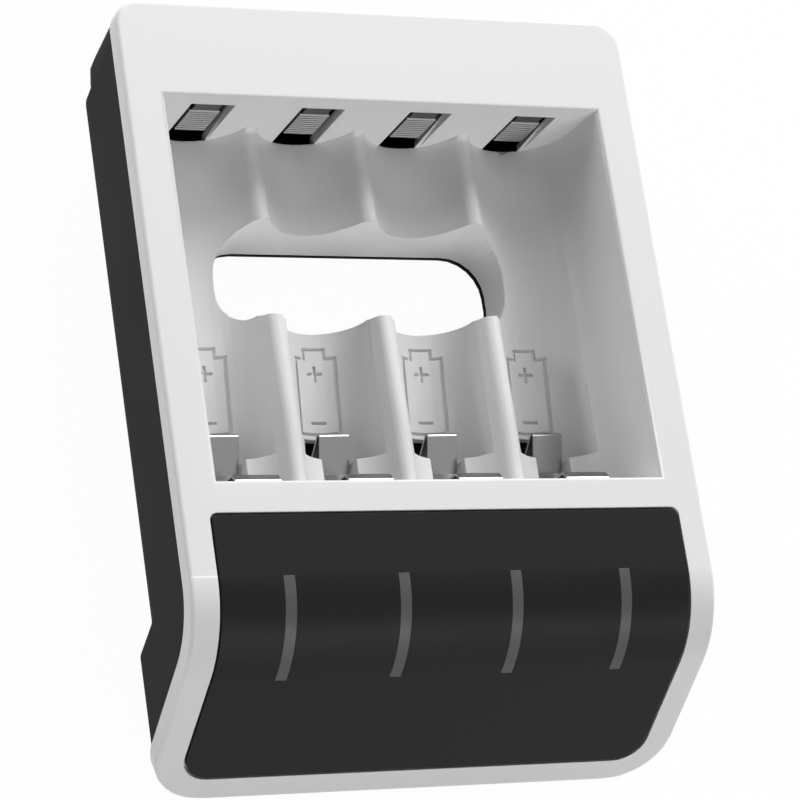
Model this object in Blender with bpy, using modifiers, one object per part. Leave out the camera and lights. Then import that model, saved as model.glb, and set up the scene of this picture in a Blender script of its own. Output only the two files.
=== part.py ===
"""Desk charger for four AA or AAA cells.

Two-part housing, inlaid front panel, light guides, sprung contacts and two boards. Metres. X runs across
the slots, Y towards the positive contacts and Z up from the table, with the charger on its feet. The
origin is under the middle of the front cover.
"""

import math

import bmesh
import bpy
from mathutils import Matrix, Vector

# Fits
GAP = 0.0003
OVERCUT = 0.0020
EPSILON = 0.000001

# Cell bay, across the slots
SLOTS = 4
AA_TROUGH_R = 0.00732
SLOT_WEB = 0.00073
BAY_SIDE = 0.000525
SIDE_BORDER = 0.0051

# Front cover, along its face
UPPER_BORDER = 0.01309
BAY_LENGTH = 0.05166
BEND_BACK = 0.01222
BEND_R = 0.0126
SLOPE_DEG = 60.0
SLOPE_LENGTH = 0.0211
TOP_CORNER_R = 0.0036
LOW_CORNER_R = 0.0078
EDGE_R = 0.0005
SKIRT = 0.0026
SKIN = 0.0020
SIDE_WALL = 0.0016

# Rear cover
REAR_INSET = 0.0003
REAR_DRAFT_DEG = 6.5
REAR_END_DRAFT_DEG = 0.5
REAR_WALL = 0.0015
REAR_BACK_Z = 0.00578
REAR_STEP_RISE = 0.0036
REAR_STEP_BACK = 0.0054
REAR_STEP_R = 0.0007
REAR_CORNER_R = 0.0030
REAR_END_R = 0.0042
REAR_EDGE_R = 0.0040
FOOT_EDGE_R = 0.0010
FOOT_END = 0.00265
FOOT_LENGTH = 0.0190
FOOT_RAMP = 0.0024
FOOT_RAMP_CURVE = ((0.0, 0.0), (0.12, 0.06), (0.24, 0.20), (0.76, 0.80), (0.88, 0.94), (1.0, 1.0))
FOOT_CLEAR = 0.0004
POST_R = 0.0038
POST_EDGE = 0.0005
POST_SIDE = 0.0088
POST_BACK = 0.0089

# Heights of the bay, upwards from the back
TRAY_CLEAR = 0.00044
TRAY_WALL = 0.0013
AA_FLOOR_RISE = 0.00503
AXIS_DEPTH = 0.00697
RIDGE_DROP = 0.00257
RIDGE_FLARE = 0.0010
RIM_R = 0.0004
HIGH_WALL = 0.0013
LOW_WALL = 0.0015

# Groove for the thinner cell, under each trough
AAA_GROOVE_R = 0.00573
AAA_STEP = 0.00747
AAA_SLOPE = 0.133
BED_PAST_HOLE = 0.0050
NOTCH_HALF = 0.00245
NOTCH_RISE = 0.00208
FLOOR_SLOT = 0.01175
SYMBOL_DEPTH = 0.0003
SYMBOL_LINE = 0.0004
SYMBOL_HALF = 0.00296
SYMBOL_START = 0.01225
SYMBOL_LENGTH = 0.0104
SYMBOL_CAP_HALF = 0.00165
SYMBOL_CAP_LENGTH = 0.00125
SYMBOL_MARK = 0.0021
SYMBOL_MINUS_UP = 0.0017
SYMBOL_PLUS_UP = 0.0082

# Sprung contacts
STRIP = 0.0003
EYE_R = 0.0006
SPRING_BEND_R = 0.0004
AA_SPRING_WIDTH = 0.0062
AA_SPRING_FACE = 0.00282
AA_SPRING_TOP = 0.0133
AA_EYE_RISE = 0.00058
AA_LEAD_LENGTH = 0.0009
AA_LEAD_DEG = 43.0
AA_TIP_LENGTH = 0.0012
AA_TIP_DEG = 20.0
AAA_SPRING_WIDTH = 0.00415
AAA_CREST = 0.01076
AAA_CREST_RISE = 0.00499
AAA_EYE_BACK = 0.00023
AAA_EYE_RISE = 0.00033
AAA_LEAF_LENGTH = 0.0047
AAA_LEAF_DEG = 20.0
RELIEF_RISE = 0.0006
RELIEF_DROP = 0.00314

# Positive contacts
WINDOW_WIDTH = 0.00605
WINDOW_DROP = 0.00282
PLATE_SET_BACK = 0.0006
PLATE_WIDTH = 0.0042
PLATE_THICK = 0.0004
PLATE_RISE = 0.00245
PLATE_RIBBED = 0.0060
PLATE_RIBS = 10
PLATE_RIB_RISE = 0.00022
PLATE_RIB_HALF = 0.00025
PLATE_CREST_HALF = 0.00011
PLATE_TAB_WIDTH = 0.0036
PLATE_TAB_HEIGHT = 0.0021
PLATE_FOOT = 0.0032

# Finger hole
HOLE_SIDE = 0.00994
HOLE_BACK = 0.0127
HOLE_LENGTH = 0.0132
HOLE_R = 0.0056
HOLE_WALL = 0.0013
HOLE_LIP = 0.0006

# Front panel and light guides
PANEL_SIDE = 0.00391
PANEL_BACK = 0.0044
PANEL_EDGE = 0.0039
PANEL_THICK = 0.0008
PANEL_TOP_R = 0.00075
PANEL_LOW_R = 0.0037
GUIDE_WIDTH = 0.0015
GUIDE_DEPTH = 0.0032
GUIDE_PAST_BEND = 0.00074
GUIDE_STEM = 0.0030
GUIDE_STEM_SHARE = 0.55
GUIDE_CLEAR = 0.00065
GUIDE_POINT_CLEAR = 0.00015

# Screws
SCREW_R = 0.0013
SCREW_LENGTH = 0.0095
SCREW_POINT_R = 0.0004
HEAD_R = 0.0024
HEAD_BASE_R = 0.0019
HEAD_HEIGHT = 0.0015
HEAD_EDGE = 0.0006
HEAD_RECESS_R = 0.0010
HEAD_RECESS = 0.0009
BOSS_R = 0.0026
HIGH_SCREW_BACK = 0.00975
LOW_SCREW_SIDE = 0.0109
LOW_SEAT_RISE = 0.0068

# Pads
PAD_THICK = 0.0012
POST_PAD_R = 0.0028
PAD_EDGE = 0.0003
FOOT_PAD_WEB = 0.0011
FOOT_PAD_END = 0.0106
FOOT_PAD_LENGTH = 0.0140
FOOT_PAD_WIDTH = 0.0070
FOOT_PAD_R = 0.0012

# Boards and what they carry
BOARD_THICK = 0.0016
BOARD_CORNER_R = 0.0010
BOARD_CLEAR = 0.0006
MAIN_BOARD_SIDE = 0.0055
MAIN_BOARD_BACK = 0.0033
MAIN_BOARD_LENGTH = 0.0200
MAIN_BOARD_RISE = 0.00642
PEG_R = 0.0012
PEG_IN = 0.0035
TOP_BOARD_SIDE = 0.0034
TOP_BOARD_BACK = 0.0018
TOP_BOARD_RISE = 0.00682
SOCKET_WIDTH = 0.0090
SOCKET_HEIGHT = 0.0032
SOCKET_LENGTH = 0.0066
SOCKET_WALL = 0.0003
SOCKET_FLOOR = 0.0015
SOCKET_FLAT = 0.00004
TONGUE_HALF = 0.0033
TONGUE_THICK = 0.0007
TONGUE_SHORT = 0.0008
LED_SIZE = 0.0016
LED_HEIGHT = 0.0009
CHIP_SIZE = 0.0050
CHIP_HEIGHT = 0.0014
CHIP_EDGE = 0.0003
CHIP_LEADS = 4
LEAD_LENGTH = 0.0009
LEAD_WIDTH = 0.0004
LEAD_THICK = 0.0002
LEAD_PITCH = 0.0010
COIL_SIZE = 0.0060
COIL_HEIGHT = 0.0030
COIL_EDGE = 0.0012
CAP_R = 0.0025
CAP_HEIGHT = 0.0054
CAP_GROOVE = 0.00025
CAP_BEAD = 0.0010
CAP_PITCH = 0.0068
SWITCH_LENGTH = 0.0030
SWITCH_WIDTH = 0.0017
SWITCH_HEIGHT = 0.0011
SWITCH_BACK = 0.0054
PART_ROW = 0.0055
WIRE_R = 0.00055
WIRE_IN = 0.0016

# Across the slots
SLOT_PITCH = 2.0 * AA_TROUGH_R + SLOT_WEB
SLOT_XS = [(i - (SLOTS - 1) / 2.0) * SLOT_PITCH for i in range(SLOTS)]
BAY_HALF = SLOT_XS[-1] + AA_TROUGH_R + BAY_SIDE
COVER_HALF = BAY_HALF + SIDE_BORDER
REAR_HALF = COVER_HALF - REAR_INSET
HOLE_HALF = BAY_HALF - HOLE_SIDE
PANEL_HALF = COVER_HALF - PANEL_SIDE
POST_X = REAR_HALF - POST_SIDE
HIGH_SCREW_X = SLOT_PITCH
LOW_SCREW_X = REAR_HALF - LOW_SCREW_SIDE
FOOT_PAD_X = LOW_SCREW_X - HEAD_R - GAP - FOOT_PAD_WEB - FOOT_PAD_LENGTH / 2.0
MAIN_BOARD_HALF = BAY_HALF - MAIN_BOARD_SIDE
TOP_BOARD_HALF = BAY_HALF - TOP_BOARD_SIDE

# Along the face, from the high end
SLOPE = math.radians(SLOPE_DEG)
ROUND_LOSS = EDGE_R * (math.sin(SLOPE) + math.cos(SLOPE) - 1.0)
SLOPE_RUN = BEND_R * math.sin(SLOPE) + SLOPE_LENGTH * math.cos(SLOPE) - ROUND_LOSS
COVER_LENGTH = UPPER_BORDER + BAY_LENGTH + BEND_BACK + SLOPE_RUN
COVER_HIGH_Y = COVER_LENGTH / 2.0
COVER_LOW_Y = -COVER_LENGTH / 2.0
BAY_HIGH_Y = COVER_HIGH_Y - UPPER_BORDER
BAY_LOW_Y = BAY_HIGH_Y - BAY_LENGTH
BEND_Y = BAY_LOW_Y - BEND_BACK
PANEL_TOP_Y = BAY_LOW_Y - PANEL_BACK
AAA_STEP_Y = BAY_LOW_Y + AAA_STEP
FLOOR_SLOT_Y = BAY_LOW_Y + FLOOR_SLOT
SYMBOL_LOW_Y = BAY_LOW_Y + SYMBOL_START
HOLE_HIGH_Y = BAY_HIGH_Y - HOLE_BACK
HOLE_LOW_Y = HOLE_HIGH_Y - HOLE_LENGTH
HIGH_SCREW_Y = COVER_HIGH_Y - HIGH_SCREW_BACK
GUIDE_LOW_Y = BEND_Y - GUIDE_STEM_SHARE * BEND_R
GUIDE_HIGH_Y = GUIDE_LOW_Y + GUIDE_STEM
LOW_SCREW_Y = GUIDE_LOW_Y - GUIDE_CLEAR - BOSS_R
POST_Y = COVER_HIGH_Y - POST_BACK
FOOT_PAD_Y = COVER_LOW_Y + FOOT_PAD_END
REAR_HIGH_Y = COVER_HIGH_Y - REAR_INSET
REAR_LOW_Y = COVER_LOW_Y + FOOT_END
REAR_STEP_Y = COVER_HIGH_Y - REAR_STEP_BACK
FOOT_RAMP_Y = REAR_LOW_Y + FOOT_LENGTH
MAIN_BOARD_HIGH_Y = BAY_LOW_Y - MAIN_BOARD_BACK
MAIN_BOARD_LOW_Y = MAIN_BOARD_HIGH_Y - MAIN_BOARD_LENGTH
PART_ROW_Y = MAIN_BOARD_LOW_Y + PART_ROW
PLATE_LEG_Y = BAY_HIGH_Y + HIGH_WALL + GAP
TOP_BOARD_LOW_Y = PLATE_LEG_Y + TOP_BOARD_BACK
TOP_BOARD_HIGH_Y = REAR_HIGH_Y - REAR_WALL - BOARD_CLEAR

# Upwards from the table
AAA_FLOOR_Z = REAR_BACK_Z + REAR_WALL + TRAY_CLEAR + TRAY_WALL
AA_FLOOR_Z = AAA_FLOOR_Z + AA_FLOOR_RISE
AA_AXIS_Z = AA_FLOOR_Z + AA_TROUGH_R
COVER_TOP = AA_AXIS_Z + AXIS_DEPTH
RIDGE_Z = AA_AXIS_Z - RIDGE_DROP
NOTCH_FLOOR_Z = AAA_FLOOR_Z + NOTCH_RISE
WINDOW_TOP_Z = COVER_TOP - WINDOW_DROP
RELIEF_LOW_Z = AA_FLOOR_Z + RELIEF_RISE
RELIEF_TOP_Z = COVER_TOP - RELIEF_DROP
REAR_TOP_Z = COVER_TOP - SKIRT - GAP
REAR_STEP_Z = REAR_BACK_Z + REAR_STEP_RISE
SEAT_DEPTH = HEAD_HEIGHT + 2.0 * GAP
HIGH_SEAT_Z = REAR_BACK_Z + SEAT_DEPTH
LOW_SEAT_Z = FOOT_CLEAR + LOW_SEAT_RISE - REAR_WALL
MAIN_BOARD_Z = REAR_BACK_Z + MAIN_BOARD_RISE
BOARD_TOP = MAIN_BOARD_Z + BOARD_THICK
TOP_BOARD_Z = REAR_BACK_Z + TOP_BOARD_RISE
TOP_BOARD_TOP = TOP_BOARD_Z + BOARD_THICK
PLATE_LOW_Z = AA_FLOOR_Z + PLATE_RISE

# The face: a flat, a bend and a slope, as (y, z)
BEND_CENTRE = Vector((BEND_Y, COVER_TOP - BEND_R))
SLOPE_DIR = Vector((-math.cos(SLOPE), -math.sin(SLOPE)))
SLOPE_OUT = Vector((-math.sin(SLOPE), math.cos(SLOPE)))
BEND_END = BEND_CENTRE + BEND_R * SLOPE_OUT


def new_collection(name, cutters=False):
    """Collection under the scene; the one for cutters stays out of renders."""
    made = bpy.data.collections.new(name)
    bpy.context.scene.collection.children.link(made)
    made.hide_render = cutters
    return made


def make_material(name, colour, roughness, metallic=0.0, transmission=0.0):
    """Principled material with one colour."""
    made = bpy.data.materials.new(name)
    made.use_nodes = True
    shader = made.node_tree.nodes["Principled BSDF"]
    shader.inputs["Base Color"].default_value = (*colour, 1.0)
    shader.inputs["Roughness"].default_value = roughness
    shader.inputs["Metallic"].default_value = metallic
    shader.inputs["Transmission Weight"].default_value = transmission
    made.diffuse_color = (*colour, 1.0)
    return made


def put(bm, name, collection, material=None, pivot=(0.0, 0.0, 0.0)):
    """Object from a finished bmesh, with its origin at the pivot."""
    bmesh.ops.recalc_face_normals(bm, faces=bm.faces)
    bmesh.ops.translate(bm, verts=bm.verts, vec=-Vector(pivot))
    mesh = bpy.data.meshes.new(name)
    bm.to_mesh(mesh)
    bm.free()
    made = bpy.data.objects.new(name, mesh)
    made.location = pivot
    collection.objects.link(made)
    if material is None:
        made.display_type = "WIRE"
        made.hide_render = True
    else:
        mesh.materials.append(material)
    return made


def combine(target, tool, operation):
    """Exact Boolean between two objects, kept live."""
    modifier = target.modifiers.new(operation.lower() + "_" + tool.name, "BOOLEAN")
    modifier.solver = "EXACT"
    modifier.operation = operation
    modifier.object = tool


def draw_out(bm, outline, *offsets):
    """Solid drawn out from a closed outline of 3-D points by one offset after another."""
    face = bm.faces.new([bm.verts.new(point) for point in outline])
    for number, offset in enumerate(offsets):
        drawn = bmesh.ops.extrude_face_region(bm, geom=[face])["geom"]
        moved = [item for item in drawn if isinstance(item, bmesh.types.BMVert)]
        bmesh.ops.translate(bm, verts=moved, vec=offset)
        if number > 0 and face.is_valid:
            bmesh.ops.delete(bm, geom=[face], context="FACES_ONLY")
        face = next(item for item in drawn if isinstance(item, bmesh.types.BMFace))


def draw_x(bm, outline, low, high):
    """Outline of (y, z) pairs drawn out along X."""
    draw_out(bm, [(low, y, z) for y, z in outline], (high - low, 0.0, 0.0))


def draw_y(bm, outline, low, high, slope=0.0):
    """Outline of (x, z) pairs drawn out along Y, rising by the slope."""
    draw_out(bm, [(x, low, z) for x, z in outline], (0.0, high - low, slope * (high - low)))


def draw_z(bm, outline, low, high):
    """Outline of (x, y) pairs drawn out along Z."""
    draw_out(bm, [(x, y, low) for x, y in outline], (0.0, 0.0, high - low))


def add_box(bm, low, high):
    """Box between two corners."""
    low = Vector(low)
    high = Vector(high)
    size = Matrix.Diagonal((*(high - low), 1.0))
    bmesh.ops.create_cube(bm, size=1.0, matrix=Matrix.Translation((low + high) / 2.0) @ size)


def add_cylinder(bm, x, y, radius, low, high, segments=24):
    """Upright cylinder."""
    bmesh.ops.create_cone(
        bm,
        cap_ends=True,
        segments=segments,
        radius1=radius,
        radius2=radius,
        depth=high - low,
        matrix=Matrix.Translation((x, y, (low + high) / 2.0)),
    )


def add_loft(bm, rings):
    """Closed body through rings of equal point count, for unlike sections."""
    loops = [[bm.verts.new(point) for point in ring] for ring in rings]
    for lower, upper in zip(loops, loops[1:]):
        for i in range(len(lower)):
            j = (i + 1) % len(lower)
            bm.faces.new((lower[i], lower[j], upper[j], upper[i]))
    bm.faces.new(loops[0][::-1])
    bm.faces.new(loops[-1])


def turn(name, profile, x, y, collection, material, segments=20):
    """Revolved piece on an upright axis, from (radius, z) pairs that run down its outside."""
    bm = bmesh.new()
    points = [bm.verts.new((radius, 0.0, z)) for radius, z in profile]
    for upper, lower in zip(points, points[1:]):
        bm.edges.new((upper, lower))
    made = put(bm, name, collection, material)
    made.location = (x, y, 0.0)
    screw = made.modifiers.new("turn", "SCREW")
    screw.steps = segments
    screw.render_steps = segments
    screw.use_merge_vertices = True
    screw.merge_threshold = EPSILON
    return made


def arc(cx, cy, radius, start, end, steps):
    """Points on an arc, angles in degrees."""
    turns = [math.radians(start + (end - start) * i / steps) for i in range(steps + 1)]
    return [(cx + radius * math.cos(a), cy + radius * math.sin(a)) for a in turns]


def rect(x0, x1, y0, y1):
    """Plain rectangle outline."""
    return [(x0, y0), (x1, y0), (x1, y1), (x0, y1)]


def rounded_rect(x0, x1, y0, y1, radius, steps=6):
    """Rectangle outline with rounded corners."""
    outline = arc(x1 - radius, y0 + radius, radius, -90, 0, steps)
    outline += arc(x1 - radius, y1 - radius, radius, 0, 90, steps)
    outline += arc(x0 + radius, y1 - radius, radius, 90, 180, steps)
    outline += arc(x0 + radius, y0 + radius, radius, 180, 270, steps)
    return outline


def slot_boxes(name, half, y_span, z_span, cutters):
    """One box in each slot, all of one size, as a cutter."""
    bm = bmesh.new()
    for x in SLOT_XS:
        add_box(bm, (x - half, y_span[0], z_span[0]), (x + half, y_span[1], z_span[1]))
    return put(bm, name, cutters)


def face_path(depth, high_y, slope_length, steps=12):
    """Line of the front face in YZ at a depth under it, from the high end down the slope."""
    path = [(high_y, COVER_TOP - depth)]
    for i in range(steps + 1):
        lean = SLOPE * i / steps
        point = BEND_CENTRE + (BEND_R - depth) * Vector((-math.sin(lean), math.cos(lean)))
        path.append((point.x, point.y))
    end = BEND_END + slope_length * SLOPE_DIR - depth * SLOPE_OUT
    path.append((end.x, end.y))
    return path


def face_depth(y, z):
    """How far a point lies under the front face."""
    if y >= BEND_Y:
        return COVER_TOP - z
    arm = Vector((y, z)) - BEND_CENTRE
    if math.atan2(-arm.x, arm.y) <= SLOPE:
        return BEND_R - arm.length
    return BEND_R - arm.dot(SLOPE_OUT)


def corner_edges(bm, upper):
    """Edges across the thickness of a band, at its high end or its low end."""
    found = []
    for edge in bm.edges:
        a, b = (v.co for v in edge.verts)
        across = abs(face_depth(a.y, a.z) - face_depth(b.y, b.z)) > 10.0 * EPSILON
        if across and abs(a.x - b.x) < EPSILON and (a.y > BEND_Y) == upper:
            found.append(edge)
    return found


def add_band(bm, half, high_y, slope_length, outer, inner, high_r, low_r, edge_r=0.0):
    """Plate that follows the front face between two depths, with rounded corners and outer edge."""
    outline = face_path(outer, high_y, slope_length) + face_path(inner, high_y, slope_length)[::-1]
    draw_x(bm, outline, -half, half)
    bmesh.ops.recalc_face_normals(bm, faces=bm.faces)
    for radius, upper in ((high_r, True), (low_r, False)):
        corners = corner_edges(bm, upper)
        bmesh.ops.bevel(bm, geom=corners, offset=radius, segments=7, profile=0.5, affect="EDGES")
    if edge_r > 0.0:
        bm.normal_update()
        rim = []
        for edge in bm.edges:
            at_face = all(abs(face_depth(v.co.y, v.co.z) - outer) < EPSILON for v in edge.verts)
            if at_face and edge.calc_face_angle(0.0) > math.radians(60):
                rim.append(edge)
        bmesh.ops.bevel(bm, geom=rim, offset=edge_r, segments=3, profile=0.5, affect="EDGES")


def crest_arc(x, drop, steps=6):
    """Round crest between two troughs, touching both and the height under the trough axis."""
    half = SLOT_PITCH / 2.0
    radius = (half**2 + drop**2 - AA_TROUGH_R**2) / (2.0 * (AA_TROUGH_R - drop))
    middle = -(drop + radius)
    spread = math.degrees(math.atan2(half, -middle))
    return arc(x, AA_AXIS_Z + middle, radius, 90 + spread, 90 - spread, steps), spread


def bay_section(y, drop):
    """Ring of the open bay at one place: side walls, troughs, and ridges at a drop under the axis."""
    section = [(-BAY_HALF, COVER_TOP + OVERCUT)]
    for i, x in enumerate(SLOT_XS):
        crest, spread = crest_arc(x + SLOT_PITCH / 2.0, drop)
        start = 180.0 if i == 0 else 270.0 - spread
        end = 360.0 if i == SLOTS - 1 else 270.0 + spread
        section += arc(x, AA_AXIS_Z, AA_TROUGH_R, start, end, 16)
        if i < SLOTS - 1:
            section += crest[1:-1]
    section.append((BAY_HALF, COVER_TOP + OVERCUT))
    return [Vector((x, y, z)) for x, z in section]


def tray_section():
    """Cross-section of the tray round the bay, a wall thicker than the troughs."""
    radius = AA_TROUGH_R + TRAY_WALL
    half = BAY_HALF + TRAY_WALL
    top = COVER_TOP - SKIN / 2.0
    spread = math.degrees(math.asin(SLOT_PITCH / 2.0 / radius))
    section = [(-half, top), (-half, AA_AXIS_Z)]
    for i, x in enumerate(SLOT_XS):
        start = 180.0 if i == 0 else 270.0 - spread
        end = 360.0 if i == SLOTS - 1 else 270.0 + spread
        points = arc(x, AA_AXIS_Z, radius, start, end, 10)
        section += points if i == SLOTS - 1 else points[:-1]
    return section + [(half, AA_AXIS_Z), (half, top)]


def groove_section(x, radius, floor_z, top_z):
    """U-shaped cross-section of one groove."""
    return arc(x, floor_z + radius, radius, 180, 360, 14) + [(x + radius, top_z), (x - radius, top_z)]


def rear_half_width(z):
    """Half width of the rear cover at a height, with its side draft."""
    return REAR_HALF - math.tan(math.radians(REAR_DRAFT_DEG)) * (REAR_TOP_Z - z)


def rear_section(y, floor_z, inset, edge_r, wall, top_z, lean_share):
    """One ring of the rear cover: drafted sides and rounded lower edges."""
    lean = math.tan(math.radians(REAR_END_DRAFT_DEG)) * lean_share
    radius = max(GAP, edge_r - wall)
    low = floor_z + wall
    corner_x = rear_half_width(low + radius) - wall - inset - radius
    right = [(rear_half_width(top_z) - wall - inset, top_z)]
    right += arc(corner_x, low + radius, radius, 0, -90, 6)
    points = right + [(-x, z) for x, z in reversed(right)]
    return [Vector((x, y - lean * (REAR_TOP_Z - z), z)) for x, z in points]


def round_back(radius, distance):
    """How far a rounded corner of this radius stands back at a distance from its end."""
    left = max(0.0, radius - distance)
    return radius - math.sqrt(radius**2 - left**2)


def rear_end_stations(wall):
    """Places, floors and insets of the rounded high end and of the step behind it."""
    corner = REAR_CORNER_R - wall
    end = REAR_END_R - wall
    high = REAR_HIGH_Y - wall
    stations = []
    for angle in (90, 75, 60, 45, 28, 0):
        back = end * (1.0 - math.sin(math.radians(angle)))
        floor = REAR_STEP_Z + round_back(end, back)
        stations.append((high - back, floor, round_back(corner, back), REAR_EDGE_R, 1.0))
    step = REAR_STEP_Y - wall
    stations.append((step + GAP, REAR_STEP_Z, 0.0, REAR_EDGE_R, 0.0))
    for angle in (90, 45, 0):
        back = REAR_STEP_R * (1.0 - math.sin(math.radians(angle)))
        floor = REAR_BACK_Z + round_back(REAR_STEP_R, back)
        stations.append((step - back, floor, 0.0, REAR_EDGE_R, 0.0))
    return stations


def rear_foot_stations(wall):
    """Places, floors and insets of the foot block, its ramp and its rounded low corners."""
    ramp = FOOT_RAMP_Y - 0.5 * wall
    drop = REAR_BACK_Z - FOOT_CLEAR
    stations = []
    for share, fall in FOOT_RAMP_CURVE:
        edge_r = REAR_EDGE_R + fall * (FOOT_EDGE_R - REAR_EDGE_R)
        stations.append((ramp - share * FOOT_RAMP, REAR_BACK_Z - fall * drop, 0.0, edge_r, 0.0))
    reach = LOW_CORNER_R / 2.0
    for angle in (0, 25, 45, 62, 76, 90):
        inset = LOW_CORNER_R * (1.0 - math.cos(math.radians(angle)))
        y = REAR_LOW_Y + wall + reach * (1.0 - math.sin(math.radians(angle)))
        stations.append((y, FOOT_CLEAR, inset, FOOT_EDGE_R, 0.0))
    return stations


def add_rear_body(bm, wall, top_z):
    """Tub form of the rear cover from the high end to the foot block, a wall inside the outer skin."""
    rings = []
    for y, floor_z, inset, edge_r, lean_share in rear_end_stations(wall) + rear_foot_stations(wall):
        rings.append(rear_section(y, floor_z, inset, edge_r, wall, top_z, lean_share))
    add_loft(bm, rings)


def offset_strip(path, thickness):
    """Closed outline of a strip whose middle line is the path."""
    left = []
    right = []
    for i, point in enumerate(path):
        here = Vector(point)
        before = Vector(path[max(i - 1, 0)])
        after = Vector(path[min(i + 1, len(path) - 1)])
        into = (here - before).normalized() if i > 0 else (after - here).normalized()
        out = (after - here).normalized() if i < len(path) - 1 else into
        normal = Vector((-(into.y + out.y), into.x + out.x)).normalized()
        reach = thickness / 2.0 / max(0.5, normal.dot(Vector((-into.y, into.x))))
        left.append(tuple(here + reach * normal))
        right.append(tuple(here - reach * normal))
    return left + right[::-1]


def front_blank(parts, cutters, material):
    """Hollow front cover with its skirt, before the bay is cut."""
    bm = bmesh.new()
    add_band(bm, COVER_HALF, COVER_HIGH_Y, SLOPE_LENGTH, 0.0, SKIRT, TOP_CORNER_R, LOW_CORNER_R, EDGE_R)
    cover = put(bm, "front_cover", parts, material)
    bm = bmesh.new()
    half = COVER_HALF - SIDE_WALL
    high_y = COVER_HIGH_Y - SIDE_WALL
    length = SLOPE_LENGTH - SIDE_WALL
    high_r = TOP_CORNER_R - SIDE_WALL
    low_r = LOW_CORNER_R - SIDE_WALL
    add_band(bm, half, high_y, length, SKIN, SKIRT + SKIN, high_r, low_r)
    combine(cover, put(bm, "cut_cover_inside", cutters), "DIFFERENCE")
    return cover


def hang_tray(cover, cutters):
    """Tray, groove beds and finger tube under the skin."""
    bm = bmesh.new()
    draw_y(bm, tray_section(), BAY_LOW_Y - LOW_WALL, BAY_HIGH_Y + HIGH_WALL)
    combine(cover, put(bm, "add_tray", cutters), "UNION")
    start = BAY_LOW_Y - LOW_WALL
    level = Vector((0.0, AAA_STEP_Y - start, 0.0))
    run = HOLE_HIGH_Y + BED_PAST_HOLE - AAA_STEP_Y
    rising = Vector((0.0, run, AAA_SLOPE * run))
    bm = bmesh.new()
    for x in SLOT_XS:
        section = groove_section(x, AAA_GROOVE_R + TRAY_WALL, AAA_FLOOR_Z - TRAY_WALL, AA_AXIS_Z)
        draw_out(bm, [(a, start, z) for a, z in section], level, rising)
    combine(cover, put(bm, "add_beds", cutters), "UNION")
    bm = bmesh.new()
    draw_z(bm, hole_outline(HOLE_WALL), REAR_BACK_Z + HOLE_LIP + GAP, RIDGE_Z)
    combine(cover, put(bm, "add_finger_tube", cutters), "UNION")


def hang_bosses(cover, cutters):
    """Screw bosses and board pegs, cut off inside the skin so that they follow the face."""
    bm = bmesh.new()
    for x, y, seat in screw_places():
        add_cylinder(bm, x, y, BOSS_R, seat + REAR_WALL + GAP, COVER_TOP)
    for side in (-1, 1):
        add_cylinder(bm, side * SLOT_PITCH, MAIN_BOARD_HIGH_Y - PEG_IN, PEG_R, BOARD_TOP + GAP, COVER_TOP)
    bosses = put(bm, "add_bosses", cutters)
    bm = bmesh.new()
    outline = face_path(SKIN / 2.0, COVER_HIGH_Y, SLOPE_LENGTH)
    outline += [(COVER_LOW_Y, COVER_TOP + OVERCUT), (COVER_HIGH_Y, COVER_TOP + OVERCUT)]
    draw_x(bm, outline, -COVER_HALF, COVER_HALF)
    combine(bosses, put(bm, "cut_boss_tops", cutters), "DIFFERENCE")
    combine(cover, bosses, "UNION")


def hole_outline(out):
    """Plan outline of the finger hole, grown by a distance."""
    half = HOLE_HALF + out
    return rounded_rect(-half, half, HOLE_LOW_Y - out, HOLE_HIGH_Y + out, HOLE_R + out)


def cut_bay(cover, cutters):
    """Bay with ridges that flare into its upper wall, grooves, rim rounding and finger hole."""
    bm = bmesh.new()
    rings = [bay_section(BAY_LOW_Y, RIDGE_DROP)]
    for angle in (0, 30, 60, 90):
        y = BAY_HIGH_Y - RIDGE_FLARE * (1.0 - math.sin(math.radians(angle)))
        rise = RIDGE_FLARE * (1.0 - math.cos(math.radians(angle)))
        rings.append(bay_section(y, RIDGE_DROP - rise))
    add_loft(bm, rings)
    combine(cover, put(bm, "cut_bay", cutters), "DIFFERENCE")
    bm = bmesh.new()
    for x in SLOT_XS:
        section = groove_section(x, AAA_GROOVE_R, AAA_FLOOR_Z, AA_AXIS_Z)
        draw_y(bm, section, AAA_STEP_Y, HOLE_HIGH_Y + HOLE_BACK - RIDGE_FLARE, AAA_SLOPE)
    combine(cover, put(bm, "cut_grooves", cutters), "DIFFERENCE")
    cut_rim(cover, cutters)
    bm = bmesh.new()
    draw_z(bm, hole_outline(0.0), 0.0, COVER_TOP)
    combine(cover, put(bm, "cut_finger_hole", cutters), "DIFFERENCE")


def cut_rim(cover, cutters):
    """Rounding round the mouth of the bay."""
    bm = bmesh.new()
    rings = []
    for angle in (0, 30, 60, 90):
        out = RIM_R * (1.0 - math.cos(math.radians(angle)))
        z = COVER_TOP - RIM_R * (1.0 - math.sin(math.radians(angle)))
        plan = rect(-BAY_HALF - out, BAY_HALF + out, BAY_LOW_Y - out, BAY_HIGH_Y + out)
        rings.append([Vector((x, y, z)) for x, y in plan])
    rings.append([point + Vector((0.0, 0.0, OVERCUT)) for point in rings[-1]])
    add_loft(bm, rings)
    combine(cover, put(bm, "cut_rim", cutters), "DIFFERENCE")


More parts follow.
